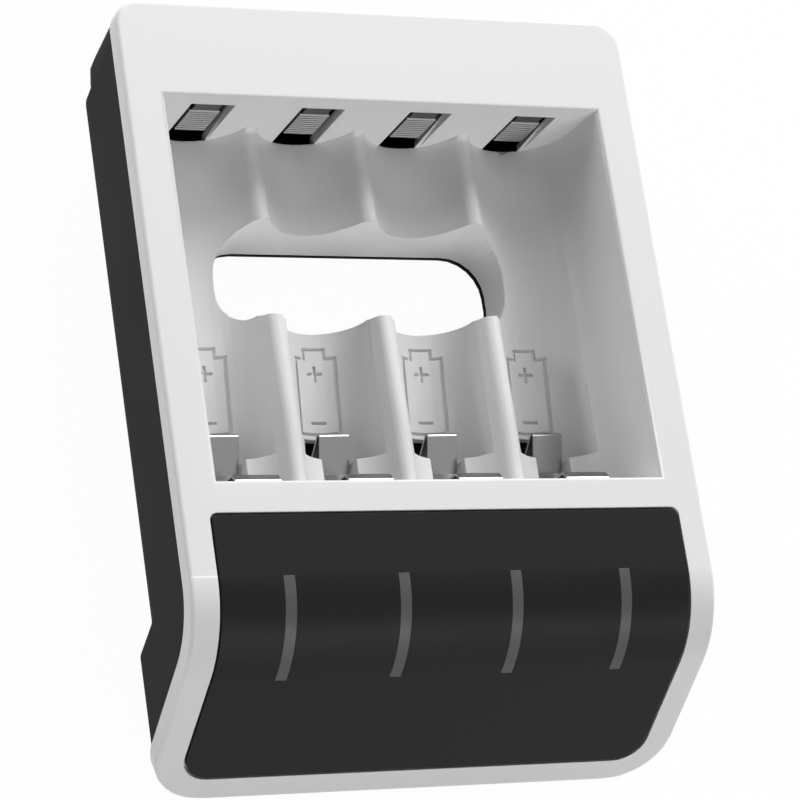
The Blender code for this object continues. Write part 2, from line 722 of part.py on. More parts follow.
def cut_contact_places(cover, cutters):
    """Notches, spring pockets, relief windows and plate windows of the four slots."""
    wide = AA_SPRING_WIDTH / 2.0 + GAP
    eye_r = EYE_R + STRIP / 2.0 + GAP
    leaf_y = AAA_STEP_Y - AAA_EYE_BACK
    leaf_z = AAA_FLOOR_Z + AAA_EYE_RISE
    leg_y = BAY_LOW_Y + AA_SPRING_FACE
    deep_z = AAA_FLOOR_Z + AA_EYE_RISE - eye_r
    end_y = BAY_HIGH_Y + 2.0 * HIGH_WALL
    places = [
        ("cut_leaf_slots", NOTCH_HALF, (leaf_y - GAP, FLOOR_SLOT_Y), (leaf_z - eye_r, AA_AXIS_Z)),
        ("cut_notches", NOTCH_HALF, (leg_y - GAP, AAA_STEP_Y + GAP), (NOTCH_FLOOR_Z, AA_AXIS_Z)),
        ("cut_eye_pockets", NOTCH_HALF, (leaf_y - eye_r, leaf_y), (leaf_z - eye_r, leaf_z + eye_r)),
        ("cut_floor_slots", NOTCH_HALF, (leaf_y + eye_r + GAP, FLOOR_SLOT_Y), (0.0, leaf_z)),
        ("cut_leg_slots", wide, (BAY_LOW_Y - GAP, leg_y + GAP), (deep_z, AA_AXIS_Z)),
        ("cut_reliefs", wide, (BAY_LOW_Y - 2.0 * LOW_WALL, BAY_LOW_Y + GAP), (RELIEF_LOW_Z, RELIEF_TOP_Z)),
        ("cut_plate_windows", WINDOW_WIDTH / 2.0, (BAY_HIGH_Y, end_y), (0.0, WINDOW_TOP_Z)),
    ]
    for name, half, y_span, z_span in places:
        combine(cover, slot_boxes(name, half, y_span, z_span, cutters), "DIFFERENCE")


def stepped_outline(half, cap_half, low, high, tip):
    """Plan outline of a cell: a body with a narrower cap."""
    right = [(half, low), (half, high), (cap_half, high), (cap_half, tip)]
    return right + [(-x, y) for x, y in reversed(right)]


def engrave_symbols(cover, cutters):
    """Cell symbols sunk a little into each groove floor: a stepped frame, a plus and a minus."""
    line = SYMBOL_LINE
    cap = SYMBOL_CAP_HALF
    low = SYMBOL_LOW_Y
    high = low + SYMBOL_LENGTH
    tip = high + SYMBOL_CAP_LENGTH
    arm = SYMBOL_MARK / 2.0
    frames = bmesh.new()
    insides = bmesh.new()
    marks = bmesh.new()
    floors = bmesh.new()
    for x in SLOT_XS:
        outer = stepped_outline(SYMBOL_HALF, cap, low, high, tip)
        inner = stepped_outline(SYMBOL_HALF - line, cap - line, low + line, high - line, tip - line)
        draw_z(frames, [(x + a, y) for a, y in outer], 0.0, AA_AXIS_Z)
        draw_z(insides, [(x + a, y) for a, y in inner], -OVERCUT, AA_AXIS_Z + OVERCUT)
        plus_y = low + SYMBOL_PLUS_UP
        minus_y = low + SYMBOL_MINUS_UP
        half = line / 2.0
        plus = [(-arm, -half), (-half, -half), (-half, -arm), (half, -arm), (half, -half), (arm, -half)]
        plus += [(-a, -b) for a, b in plus]
        draw_z(marks, [(x + a, plus_y + b) for a, b in plus], 0.0, AA_AXIS_Z)
        add_box(marks, (x - arm, minus_y - half, 0.0), (x + arm, minus_y + half, AA_AXIS_Z))
        section = groove_section(x, AAA_GROOVE_R, AAA_FLOOR_Z - SYMBOL_DEPTH, AA_AXIS_Z)
        draw_y(floors, section, AAA_STEP_Y, HOLE_HIGH_Y, AAA_SLOPE)
    symbols = put(frames, "cut_symbols", cutters)
    combine(symbols, put(insides, "keep_symbol_insides", cutters), "DIFFERENCE")
    combine(symbols, put(marks, "add_symbol_marks", cutters), "UNION")
    combine(symbols, put(floors, "keep_symbol_depth", cutters), "INTERSECT")
    combine(cover, symbols, "DIFFERENCE")


def guide_slot_tool(cutters):
    """Four slots that clear the light guides, open above the face."""
    bm = bmesh.new()
    outer = face_path(-OVERCUT, BEND_Y + GAP, GUIDE_PAST_BEND + GAP)
    inner = face_path(GUIDE_DEPTH + OVERCUT, BEND_Y + GAP, GUIDE_PAST_BEND + GAP)
    half = GUIDE_WIDTH / 2.0 + GAP
    for x in SLOT_XS:
        draw_x(bm, outer + inner[::-1], x - half, x + half)
    return put(bm, "cut_guide_slots", cutters)


def cut_panel_recess(cover, cutters):
    """Recess that takes the front panel."""
    bm = bmesh.new()
    length = SLOPE_LENGTH - PANEL_EDGE + GAP
    deep = PANEL_THICK + GAP
    top_r = PANEL_TOP_R + GAP
    low_r = PANEL_LOW_R + GAP
    add_band(bm, PANEL_HALF + GAP, PANEL_TOP_Y + GAP, length, -OVERCUT, deep, top_r, low_r)
    combine(cover, put(bm, "cut_panel_recess", cutters), "DIFFERENCE")


def cut_pilot_holes(cover, cutters):
    """Pilot holes in the bosses."""
    bm = bmesh.new()
    for x, y, seat in screw_places():
        add_cylinder(bm, x, y, SCREW_R + GAP, 0.0, seat + SCREW_LENGTH + GAP, 16)
    combine(cover, put(bm, "cut_pilot_holes", cutters), "DIFFERENCE")


def screw_places():
    """Middle and seat height of the four screws."""
    places = []
    for x, y, seat in ((HIGH_SCREW_X, HIGH_SCREW_Y, HIGH_SEAT_Z), (LOW_SCREW_X, LOW_SCREW_Y, LOW_SEAT_Z)):
        places += [(-x, y, seat), (x, y, seat)]
    return places


def build_front_cover(parts, cutters, material):
    """White front cover with the cell bay; hands back the cutter of the guide slots."""
    cover = front_blank(parts, cutters, material)
    hang_tray(cover, cutters)
    hang_bosses(cover, cutters)
    cut_bay(cover, cutters)
    cut_contact_places(cover, cutters)
    engrave_symbols(cover, cutters)
    cut_panel_recess(cover, cutters)
    slots = guide_slot_tool(cutters)
    combine(cover, slots, "DIFFERENCE")
    cut_pilot_holes(cover, cutters)
    return slots


def build_front_panel(parts, material, slots):
    """Dark inlay that follows the face, the bend and the slope."""
    bm = bmesh.new()
    length = SLOPE_LENGTH - PANEL_EDGE
    add_band(bm, PANEL_HALF, PANEL_TOP_Y, length, 0.0, PANEL_THICK, PANEL_TOP_R, PANEL_LOW_R)
    panel = put(bm, "front_panel", parts, material)
    combine(panel, slots, "DIFFERENCE")


def build_light_guides(parts, material):
    """Bent guide bars, each with a stem down to its light."""
    inner_r = BEND_R - GUIDE_DEPTH
    foot = BOARD_TOP + LED_HEIGHT + 2.0 * GAP
    corners = []
    for y in (GUIDE_LOW_Y, GUIDE_HIGH_Y):
        corners.append((y, BEND_CENTRE.y + math.sqrt(inner_r**2 - (y - BEND_Y) ** 2)))
    inner = face_path(GUIDE_DEPTH, BEND_Y, GUIDE_PAST_BEND)[::-1]
    low = [point for point in inner if point[0] < GUIDE_LOW_Y - GUIDE_POINT_CLEAR]
    high = [point for point in inner if point[0] > GUIDE_HIGH_Y + GUIDE_POINT_CLEAR]
    stem = [corners[0], (GUIDE_LOW_Y, foot), (GUIDE_HIGH_Y, foot), corners[1]]
    outline = face_path(0.0, BEND_Y, GUIDE_PAST_BEND) + low + stem + high
    half = GUIDE_WIDTH / 2.0
    for number, x in enumerate(SLOT_XS, 1):
        bm = bmesh.new()
        draw_x(bm, outline, x - half, x + half)
        put(bm, "light_guide_" + str(number), parts, material)


def build_rear_cover(parts, cutters, material):
    """Dark rear tub with foot block, posts, screw seats and the hole for a finger."""
    bm = bmesh.new()
    add_rear_body(bm, 0.0, COVER_TOP + OVERCUT)
    rear = put(bm, "rear_cover", parts, material)
    bm = bmesh.new()
    add_rear_body(bm, REAR_WALL, COVER_TOP + 2.0 * OVERCUT)
    combine(rear, put(bm, "cut_rear_inside", cutters), "DIFFERENCE")
    raise_rear_posts(rear, cutters)
    trim_rear_top(rear, cutters)
    cut_rear_openings(rear, cutters)


def raise_rear_posts(rear, cutters):
    """Feet at the high end, collars round the screws and pegs under the boards."""
    root = REAR_BACK_Z + REAR_WALL / 2.0
    low_root = FOOT_CLEAR + REAR_WALL / 2.0
    collar = HEAD_R + GAP + REAR_WALL
    bm = bmesh.new()
    for x, y, seat in screw_places():
        add_cylinder(bm, x, y, collar, root if y > 0.0 else low_root, seat + REAR_WALL)
    low_peg_y = MAIN_BOARD_LOW_Y + PEG_IN
    high_peg_y = TOP_BOARD_LOW_Y + PEG_IN
    for side in (-1, 1):
        add_cylinder(bm, side * SLOT_PITCH, low_peg_y, PEG_R, low_root, MAIN_BOARD_Z - GAP, 16)
        add_cylinder(bm, side * SLOT_PITCH / 2.0, high_peg_y, PEG_R, root, TOP_BOARD_Z - GAP, 16)
    combine(rear, put(bm, "add_rear_collars", cutters), "UNION")
    profile = [(0.0, root), (POST_R, root), (POST_R, FOOT_CLEAR + POST_EDGE)]
    profile += [(POST_R - POST_EDGE, FOOT_CLEAR), (0.0, FOOT_CLEAR)]
    for number, side in enumerate((-1, 1), 1):
        post = turn("add_post_" + str(number), profile, side * POST_X, POST_Y, cutters, None, 28)
        combine(rear, post, "UNION")


def trim_rear_top(rear, cutters):
    """Rim of the tub, a gap under the skirt of the front cover."""
    bm = bmesh.new()
    path = face_path(SKIRT + GAP, COVER_HIGH_Y + OVERCUT, SLOPE_LENGTH + SKIRT * 2.0)
    beyond = 2.0 * COVER_LOW_Y
    above = COVER_TOP + 3.0 * OVERCUT
    outline = path + [(beyond, path[-1][1]), (beyond, above), (COVER_HIGH_Y + OVERCUT, above)]
    draw_x(bm, outline, -2.0 * COVER_HALF, 2.0 * COVER_HALF)
    combine(rear, put(bm, "cut_rear_rim", cutters), "DIFFERENCE")


def cut_rear_openings(rear, cutters):
    """Finger hole with its seat for the tube, screw seats, pad seats and the inlet mouth."""
    bm = bmesh.new()
    draw_z(bm, hole_outline(0.0), 0.0, COVER_TOP)
    combine(rear, put(bm, "cut_rear_hole", cutters), "DIFFERENCE")
    bm = bmesh.new()
    draw_z(bm, hole_outline(HOLE_WALL + GAP), REAR_BACK_Z + HOLE_LIP, COVER_TOP)
    combine(rear, put(bm, "cut_tube_seat", cutters), "DIFFERENCE")
    bm = bmesh.new()
    for x, y, seat in screw_places():
        add_cylinder(bm, x, y, HEAD_R + GAP, -OVERCUT, seat)
    for side in (-1, 1):
        add_cylinder(bm, side * POST_X, POST_Y, POST_PAD_R + GAP, -OVERCUT, PAD_THICK + GAP)
        draw_z(bm, pad_outline(side, GAP), -OVERCUT, PAD_THICK + GAP)
    combine(rear, put(bm, "cut_rear_seats", cutters), "DIFFERENCE")
    bm = bmesh.new()
    for x, y, seat in screw_places():
        add_cylinder(bm, x, y, SCREW_R + GAP, -OVERCUT, seat + 2.0 * REAR_WALL, 16)
    combine(rear, put(bm, "cut_rear_pilots", cutters), "DIFFERENCE")
    bm = bmesh.new()
    draw_y(bm, socket_outline(GAP), TOP_BOARD_HIGH_Y, COVER_HIGH_Y + OVERCUT)
    combine(rear, put(bm, "cut_inlet_mouth", cutters), "DIFFERENCE")


def pad_outline(side, clear):
    """Plan outline of one rubber pad under the foot block."""
    half = FOOT_PAD_LENGTH / 2.0 + clear
    deep = FOOT_PAD_WIDTH / 2.0 + clear
    x = side * FOOT_PAD_X
    return rounded_rect(x - half, x + half, FOOT_PAD_Y - deep, FOOT_PAD_Y + deep, FOOT_PAD_R + clear, 4)


def build_pads(parts, material):
    """Rubber pads under the foot block and the two posts."""
    profile = [(0.0, PAD_THICK), (POST_PAD_R, PAD_THICK), (POST_PAD_R, PAD_EDGE)]
    profile += [(POST_PAD_R - PAD_EDGE, 0.0), (0.0, 0.0)]
    for number, side in enumerate((-1, 1), 1):
        bm = bmesh.new()
        draw_z(bm, pad_outline(side, 0.0), 0.0, PAD_THICK)
        put(bm, "foot_pad_" + str(number), parts, material)
        turn("post_pad_" + str(number), profile, side * POST_X, POST_Y, parts, material)


def socket_outline(clear):
    """Mouth of the inlet, rounded at both ends."""
    half = SOCKET_WIDTH / 2.0 + clear
    tall = SOCKET_HEIGHT / 2.0 + clear
    z = TOP_BOARD_TOP + GAP + SOCKET_HEIGHT / 2.0
    return rounded_rect(-half, half, z - tall, z + tall, tall - SOCKET_FLAT, 8)


def build_screws(parts, material):
    """Four pan-head screws, seated in the rear cover."""
    for number, (x, y, seat) in enumerate(screw_places(), 1):
        seat -= GAP
        base = seat - HEAD_HEIGHT
        tip = seat + SCREW_LENGTH
        profile = [
            (0.0, tip),
            (SCREW_POINT_R, tip),
            (SCREW_R, tip - SCREW_R),
            (SCREW_R, seat),
            (HEAD_R, seat),
            (HEAD_R, base + HEAD_EDGE),
            (HEAD_BASE_R, base),
            (HEAD_RECESS_R, base),
            (HEAD_RECESS_R, base + HEAD_RECESS),
            (0.0, base + HEAD_RECESS),
        ]
        turn("screw_" + str(number), profile, x, y, parts, material, 18)


def aa_spring_path():
    """Middle line of the tall spring: rolled eye, leg, lead and falling tip."""
    middle = BAY_LOW_Y + AA_SPRING_FACE - STRIP / 2.0
    eye = (middle - EYE_R, AAA_FLOOR_Z + AA_EYE_RISE)
    path = arc(eye[0], eye[1], EYE_R, -250, 0, 12)
    bend = SPRING_BEND_R
    low = AAA_FLOOR_Z + AA_SPRING_TOP - bend * math.cos(math.radians(AA_LEAD_DEG))
    path += arc(middle - bend, low, bend, 0, 90 - AA_LEAD_DEG, 3)
    lead = math.radians(AA_LEAD_DEG)
    last = Vector(path[-1]) + AA_LEAD_LENGTH * Vector((-math.cos(lead), math.sin(lead)))
    centre = last - bend * Vector((math.sin(lead), math.cos(lead)))
    path += arc(centre.x, centre.y, bend, 90 - AA_LEAD_DEG, 90 + AA_TIP_DEG, 4)
    tip = math.radians(AA_TIP_DEG)
    last = Vector(path[-1]) + AA_TIP_LENGTH * Vector((-math.cos(tip), -math.sin(tip)))
    return path + [tuple(last)], eye


def aaa_spring_path():
    """Middle line of the low spring: rolled eye, rising leaf, crest and trailing leaf."""
    eye = Vector((AAA_STEP_Y - AAA_EYE_BACK, AAA_FLOOR_Z + AAA_EYE_RISE))
    top = Vector((BAY_LOW_Y + AAA_CREST, AAA_FLOOR_Z + AAA_CREST_RISE))
    bend = SPRING_BEND_R
    rise = math.atan2(top.y - eye.y, top.x - eye.x)
    up = math.degrees(rise)
    along = Vector((math.cos(rise), math.sin(rise)))
    across = Vector((math.sin(rise), -math.cos(rise)))
    path = arc(eye.x, eye.y, EYE_R, up - 345, up - 90, 12)
    root = eye + EYE_R * across
    centre = root + (top - root).dot(along) * along - bend * across - bend * along
    path += arc(centre.x, centre.y, bend, up - 90, 90 + AAA_LEAF_DEG, 7)
    fall = math.radians(AAA_LEAF_DEG)
    last = Vector(path[-1]) - AAA_LEAF_LENGTH * Vector((math.cos(fall), math.sin(fall)))
    return path + [tuple(last)], (eye.x, eye.y)


def build_springs(parts, material):
    """Two sprung contacts in each slot, with their origins on the rolled eyes."""
    kinds = (("aa", AA_SPRING_WIDTH, aa_spring_path()), ("aaa", AAA_SPRING_WIDTH, aaa_spring_path()))
    for label, width, (path, eye) in kinds:
        outline = offset_strip(path, STRIP)
        for number, x in enumerate(SLOT_XS, 1):
            bm = bmesh.new()
            draw_x(bm, outline, x - width / 2.0, x + width / 2.0)
            put(bm, label + "_spring_" + str(number), parts, material, (x, eye[0], eye[1]))


def plate_outline():
    """Side outline of a positive plate: foot on the upper board, leg, shelf, ribbed face and tab."""
    face = BAY_HIGH_Y + PLATE_SET_BACK
    back = face + PLATE_THICK
    leg_back = PLATE_LEG_Y + PLATE_THICK
    foot_z = TOP_BOARD_TOP + GAP
    shelf_z = PLATE_LOW_Z + PLATE_THICK
    tab_z = PLATE_LOW_Z + PLATE_RIBBED + PLATE_TAB_HEIGHT
    outline = [(PLATE_LEG_Y, PLATE_LOW_Z), (PLATE_LEG_Y, foot_z), (PLATE_LEG_Y + PLATE_FOOT, foot_z)]
    outline += [(PLATE_LEG_Y + PLATE_FOOT, foot_z + PLATE_THICK), (leg_back, foot_z + PLATE_THICK)]
    outline += [(leg_back, shelf_z), (back, shelf_z), (back, tab_z), (face, tab_z)]
    pitch = PLATE_RIBBED / PLATE_RIBS
    for i in reversed(range(PLATE_RIBS)):
        middle = PLATE_LOW_Z + (i + 0.5) * pitch
        outline += [(face, middle + PLATE_RIB_HALF), (face - PLATE_RIB_RISE, middle + PLATE_CREST_HALF)]
        outline += [(face - PLATE_RIB_RISE, middle - PLATE_CREST_HALF), (face, middle - PLATE_RIB_HALF)]
    return outline + [(face, PLATE_LOW_Z)]


def build_plates(parts, cutters, material):
    """Ribbed positive plates in their windows."""
    outline = plate_outline()
    face = BAY_HIGH_Y + PLATE_SET_BACK
    low_z = PLATE_LOW_Z + PLATE_RIBBED
    high_z = low_z + 2.0 * PLATE_TAB_HEIGHT
    for number, x in enumerate(SLOT_XS, 1):
        bm = bmesh.new()
        draw_x(bm, outline, x - PLATE_WIDTH / 2.0, x + PLATE_WIDTH / 2.0)
        plate = put(bm, "positive_contact_" + str(number), parts, material)
        bm = bmesh.new()
        for side in (-1, 1):
            near, far = sorted((x + side * PLATE_TAB_WIDTH / 2.0, x + side * PLATE_WIDTH))
            add_box(bm, (near, face - OVERCUT, low_z), (far, face + OVERCUT, high_z))
        combine(plate, put(bm, "cut_plate_corners_" + str(number), cutters), "DIFFERENCE")


def build_board(name, half, low_y, high_y, low_z, holes, parts, cutters, material):
    """Board with rounded corners, cut clear of the bosses that pass it."""
    bm = bmesh.new()
    draw_z(bm, rounded_rect(-half, half, low_y, high_y, BOARD_CORNER_R, 3), low_z, low_z + BOARD_THICK)
    board = put(bm, name, parts, material)
    bm = bmesh.new()
    for x, y in holes:
        add_cylinder(bm, x, y, BOSS_R + GAP, low_z - OVERCUT, low_z + BOARD_THICK + OVERCUT)
    combine(board, put(bm, "cut_" + name, cutters), "DIFFERENCE")


def build_boards(parts, cutters, material):
    """Main board under the slope and the long upper board behind the plates."""
    low = [(x, y) for x, y, seat in screw_places() if y < 0.0]
    high = [(x, y) for x, y, seat in screw_places() if y > 0.0]
    main_span = (MAIN_BOARD_LOW_Y, MAIN_BOARD_HIGH_Y, MAIN_BOARD_Z)
    build_board("main_board", MAIN_BOARD_HALF, *main_span, low, parts, cutters, material)
    top_span = (TOP_BOARD_LOW_Y, TOP_BOARD_HIGH_Y, TOP_BOARD_Z)
    build_board("upper_board", TOP_BOARD_HALF, *top_span, high, parts, cutters, material)


def build_socket(parts, cutters, material):
    """Inlet socket: a rounded metal mouth round a central tongue."""
    bm = bmesh.new()
    high = REAR_HIGH_Y - REAR_WALL - GAP
    low = high - SOCKET_LENGTH
    draw_y(bm, socket_outline(0.0), low, high)
    socket = put(bm, "inlet_socket", parts, material)
    bm = bmesh.new()
    draw_y(bm, socket_outline(-SOCKET_WALL), low + SOCKET_FLOOR, high + OVERCUT)
    bore = put(bm, "cut_socket_mouth", cutters)
    bm = bmesh.new()
    z = TOP_BOARD_TOP + GAP + (SOCKET_HEIGHT - TONGUE_THICK) / 2.0
    add_box(bm, (-TONGUE_HALF, low, z), (TONGUE_HALF, high - TONGUE_SHORT, z + TONGUE_THICK))
    combine(bore, put(bm, "keep_socket_tongue", cutters), "DIFFERENCE")
    combine(socket, bore, "DIFFERENCE")


def add_package(bm, x, y, half_x, half_y, low, height, edge):
    """Moulded package: a block whose top edges are chamfered."""
    add_box(bm, (x - half_x, y - half_y, low), (x + half_x, y + half_y, low + height))
    high = low + height - EPSILON
    top = [side for side in bm.edges if all(v.co.z > high for v in side.verts)]
    bmesh.ops.bevel(bm, geom=top, offset=edge, segments=1, affect="EDGES")


def build_lights(parts, material):
    """Small lights on the main board, each under its guide."""
    y = (GUIDE_LOW_Y + GUIDE_HIGH_Y) / 2.0
    half = LED_SIZE / 2.0
    for number, x in enumerate(SLOT_XS, 1):
        bm = bmesh.new()
        add_package(bm, x, y, half, half / 2.0, BOARD_TOP + GAP, LED_HEIGHT, CHIP_EDGE / 2.0)
        put(bm, "led_" + str(number), parts, material)


def build_chip(parts, cutters, material):
    """Controller with a row of leads on two sides."""
    z = BOARD_TOP + GAP
    half = CHIP_SIZE / 2.0
    bm = bmesh.new()
    add_package(bm, 0.0, PART_ROW_Y, half, half, z, CHIP_HEIGHT, CHIP_EDGE)
    chip = put(bm, "controller_chip", parts, material)
    bm = bmesh.new()
    for side in (-1, 1):
        for i in range(CHIP_LEADS):
            x = (i - (CHIP_LEADS - 1) / 2.0) * LEAD_PITCH
            near, far = sorted((PART_ROW_Y + side * (half - GAP), PART_ROW_Y + side * (half + LEAD_LENGTH)))
            low = (x - LEAD_WIDTH / 2.0, near, z + LEAD_THICK)
            high = (x + LEAD_WIDTH / 2.0, far, z + 2.0 * LEAD_THICK)
            add_box(bm, low, high)
    combine(chip, put(bm, "add_chip_leads", cutters), "UNION")


def build_components(parts, metal, grey, black):
    """Coil, capacitors and switches on the main board."""
    z = BOARD_TOP + GAP
    bm = bmesh.new()
    half = COIL_SIZE / 2.0
    plan = rounded_rect(-half, half, PART_ROW_Y - half, PART_ROW_Y + half, COIL_EDGE, 4)
    draw_z(bm, [(x - SLOT_PITCH, y) for x, y in plan], z, z + COIL_HEIGHT)
    put(bm, "power_inductor", parts, grey)
    top = z + CAP_HEIGHT
    bead = z + CAP_BEAD
    profile = [(0.0, top), (CAP_R - CAP_GROOVE, top), (CAP_R, top - CAP_GROOVE), (CAP_R, bead + CAP_GROOVE)]
    profile += [(CAP_R - CAP_GROOVE, bead), (CAP_R, bead - CAP_GROOVE), (CAP_R, z), (0.0, z)]
    for number, side in enumerate((-1, 1), 1):
        x = SLOT_PITCH + side * CAP_PITCH / 2.0
        turn("capacitor_" + str(number), profile, x, PART_ROW_Y, parts, metal)
    y = MAIN_BOARD_HIGH_Y - SWITCH_BACK
    for number, x in enumerate(SLOT_XS, 1):
        bm = bmesh.new()
        add_package(bm, x, y, SWITCH_LENGTH / 2.0, SWITCH_WIDTH / 2.0, z, SWITCH_HEIGHT, CHIP_EDGE / 2.0)
        put(bm, "charge_switch_" + str(number), parts, black)


def build_wires(parts, materials):
    """Pair of leads from the upper board down the side to the main board."""
    pitch = 4.0 * WIRE_R
    high_z = TOP_BOARD_TOP + GAP + WIRE_R
    low_z = BOARD_TOP + GAP + WIRE_R
    side_x = rear_half_width(MAIN_BOARD_Z) - REAR_WALL - GAP - WIRE_R
    for number, material in enumerate(materials):
        rail_z = MAIN_BOARD_Z + number * pitch
        high_y = TOP_BOARD_HIGH_Y - WIRE_IN - number * pitch
        low_y = MAIN_BOARD_HIGH_Y - WIRE_IN - (len(materials) - 1 - number) * pitch
        points = [
            (TOP_BOARD_HALF - WIRE_IN, high_y, high_z),
            (TOP_BOARD_HALF + WIRE_IN, high_y, high_z),
            (side_x, high_y - WIRE_IN - number * pitch, rail_z),
            (side_x, HOLE_HIGH_Y, rail_z),
            (side_x, MAIN_BOARD_HIGH_Y + WIRE_IN, rail_z),
            (side_x, low_y, low_z),
            (MAIN_BOARD_HALF + WIRE_IN, low_y, low_z),
            (MAIN_BOARD_HALF - WIRE_IN, low_y, low_z),
        ]
        name = "power_lead_" + str(number + 1)
        curve = bpy.data.curves.new(name, "CURVE")
        curve.dimensions = "3D"
        curve.bevel_depth = WIRE_R
        curve.bevel_resolution = 1
        curve.use_fill_caps = True
        curve.resolution_u = 5
        spline = curve.splines.new("NURBS")
        spline.points.add(len(points) - 1)
        for point, place in zip(spline.points, points):
            point.co = (*place, 1.0)
        spline.use_endpoint_u = True
        spline.order_u = 3
        curve.materials.append(material)
        parts.objects.link(bpy.data.objects.new(name, curve))


def main():
    """Clear the scene and build every piece."""
    for old in list(bpy.data.objects):
        bpy.data.objects.remove(old, do_unlink=True)
    parts = new_collection("charger")
    cutters = new_collection("cutters", cutters=True)
    white = make_material("white_plastic", (0.80, 0.80, 0.79), 0.42)
    black = make_material("black_plastic", (0.022, 0.022, 0.024), 0.45)
    inlay = make_material("panel_plastic", (0.016, 0.016, 0.018), 0.25)
    guide = make_material("guide_plastic", (0.28, 0.29, 0.30), 0.30, 0.0, 0.3)
    nickel = make_material("nickel_strip", (0.62, 0.61, 0.58), 0.28, 1.0)
    steel = make_material("screw_steel", (0.36, 0.36, 0.37), 0.35, 1.0)
    rubber = make_material("pad_rubber", (0.03, 0.03, 0.03), 0.8)
    board = make_material("board_black", (0.012, 0.02, 0.014), 0.5)
    package = make_material("package_black", (0.02, 0.02, 0.02), 0.55)
    can = make_material("can_aluminium", (0.7, 0.7, 0.72), 0.3, 1.0)
    ferrite = make_material("ferrite_grey", (0.12, 0.12, 0.12), 0.6)
    lamp = make_material("lamp_white", (0.7, 0.68, 0.5), 0.35)
    red = make_material("lead_red", (0.45, 0.02, 0.02), 0.45)
    dark = make_material("lead_black", (0.02, 0.02, 0.02), 0.45)
    slots = build_front_cover(parts, cutters, white)
    build_front_panel(parts, inlay, slots)
    build_light_guides(parts, guide)
    build_rear_cover(parts, cutters, black)
    build_pads(parts, rubber)
    build_screws(parts, steel)
    build_springs(parts, nickel)
    build_plates(parts, cutters, nickel)
    build_boards(parts, cutters, board)
    build_socket(parts, cutters, steel)
    build_lights(parts, lamp)
    build_chip(parts, cutters, package)
    build_components(parts, can, ferrite, package)
    build_wires(parts, (red, dark))


main()
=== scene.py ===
"""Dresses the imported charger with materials, fine edges, light and a camera."""

import math

import bmesh
import bpy
from mathutils import Matrix, Vector


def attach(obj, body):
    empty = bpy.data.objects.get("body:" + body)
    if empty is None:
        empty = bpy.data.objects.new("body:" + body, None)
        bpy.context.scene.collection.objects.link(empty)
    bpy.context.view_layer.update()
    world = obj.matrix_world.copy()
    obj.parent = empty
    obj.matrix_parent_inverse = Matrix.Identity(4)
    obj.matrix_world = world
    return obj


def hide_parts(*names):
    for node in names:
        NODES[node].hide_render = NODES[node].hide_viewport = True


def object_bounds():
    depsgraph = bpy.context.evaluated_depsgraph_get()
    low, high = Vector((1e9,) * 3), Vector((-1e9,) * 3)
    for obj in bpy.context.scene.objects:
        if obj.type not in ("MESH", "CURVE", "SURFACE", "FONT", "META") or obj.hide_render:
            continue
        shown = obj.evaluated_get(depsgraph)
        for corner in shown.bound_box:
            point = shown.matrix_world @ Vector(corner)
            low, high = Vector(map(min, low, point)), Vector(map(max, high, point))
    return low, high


bl_info = {
    "name": "Cell charger look",
    "version": (1, 0, 0),
    "blender": (4, 5, 0),
    "location": "View3D > Sidebar > Charger",
    "description": "Materials, edges, light and camera for the four-slot cell charger",
    "category": "Object",
}

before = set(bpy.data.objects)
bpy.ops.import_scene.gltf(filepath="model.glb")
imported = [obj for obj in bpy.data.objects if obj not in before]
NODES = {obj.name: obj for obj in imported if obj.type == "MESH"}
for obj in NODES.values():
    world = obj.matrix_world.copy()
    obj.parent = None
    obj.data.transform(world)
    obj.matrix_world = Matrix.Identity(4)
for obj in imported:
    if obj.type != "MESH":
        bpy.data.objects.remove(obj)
CAD_BOX = [list(corner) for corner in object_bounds()]
SLOTS = range(1, 5)
SLOT_MIDDLE = 2.5

# Camera, fitted to the photograph
CAMERA_PLACE = (-0.1929, -0.146226, 0.4102)
CAMERA_RIGHT = (0.9076, -0.1443, 0.3942)
CAMERA_UP = (-0.0011, 0.9382, 0.3460)
CAMERA_BACK = (-0.4198, -0.3145, 0.8514)
CAMERA_LENS = 160.8
SENSOR_WIDTH = 36.0
CAMERA_NEAR = 0.01

# Floor and lamps
FLOOR_SIZE = 8.0
FLOOR_ROUGHNESS = 0.9
FLOOR_GLOW = 0.975
LAMP_TARGET = (0.0, 0.0, 0.02)
KEY_PLACE = (0.846, 1.900, 1.423)
KEY_SIZE = 1.5
FILL_PLACE = (0.10, -1.80, 0.88)
FILL_SIZE = 1.0
SIDE_PLACE = (-1.75, 0.87, 0.39)
SIDE_SIZE = 0.6
BAND_PLACE = (0.84, -1.38, 1.18)
BAND_SIZE = 0.5

# Front cover, panel and light bars, as the CAD has them
FACE_Z = CAD_BOX[1][2]
COVER_HALF = CAD_BOX[1][0]
BEND_Y = -0.0278455
BEND_R = 0.0126
SLOPE_LEAN = math.radians(60.0)
SLOPE_LENGTH = 0.0211
SLOPE_DOWN = Vector((0.0, -math.cos(SLOPE_LEAN), -math.sin(SLOPE_LEAN)))
SLOPE_OUT = Vector((0.0, -math.sin(SLOPE_LEAN), math.cos(SLOPE_LEAN)))
BEND_END = Vector((0.0, BEND_Y, FACE_Z - BEND_R)) + BEND_R * SLOPE_OUT
LOW_CORNER_R = 0.0078
EDGE_ROUNDING = 0.0005
SLOT_PITCH = 0.01537
BAR_HALF = 0.00075
BAR_PAST_BEND = 0.00074
BAR_GAP = 0.0003

# Fine forms
BAR_SEAM = 0.00002
BAR_WALL_NEAR = 0.00002
# Half width of the painted highlight line at the bend; it is painted colour, not a form.
BEND_HIGHLIGHT_HALF = 0.00013
CORNER_CUTS = 2
CORNER_NEAR = 0.00001
PLACE_DIGITS = 8
WELD_DISTANCE = 0.000001
SMOOTH_ANGLE = math.radians(38.0)

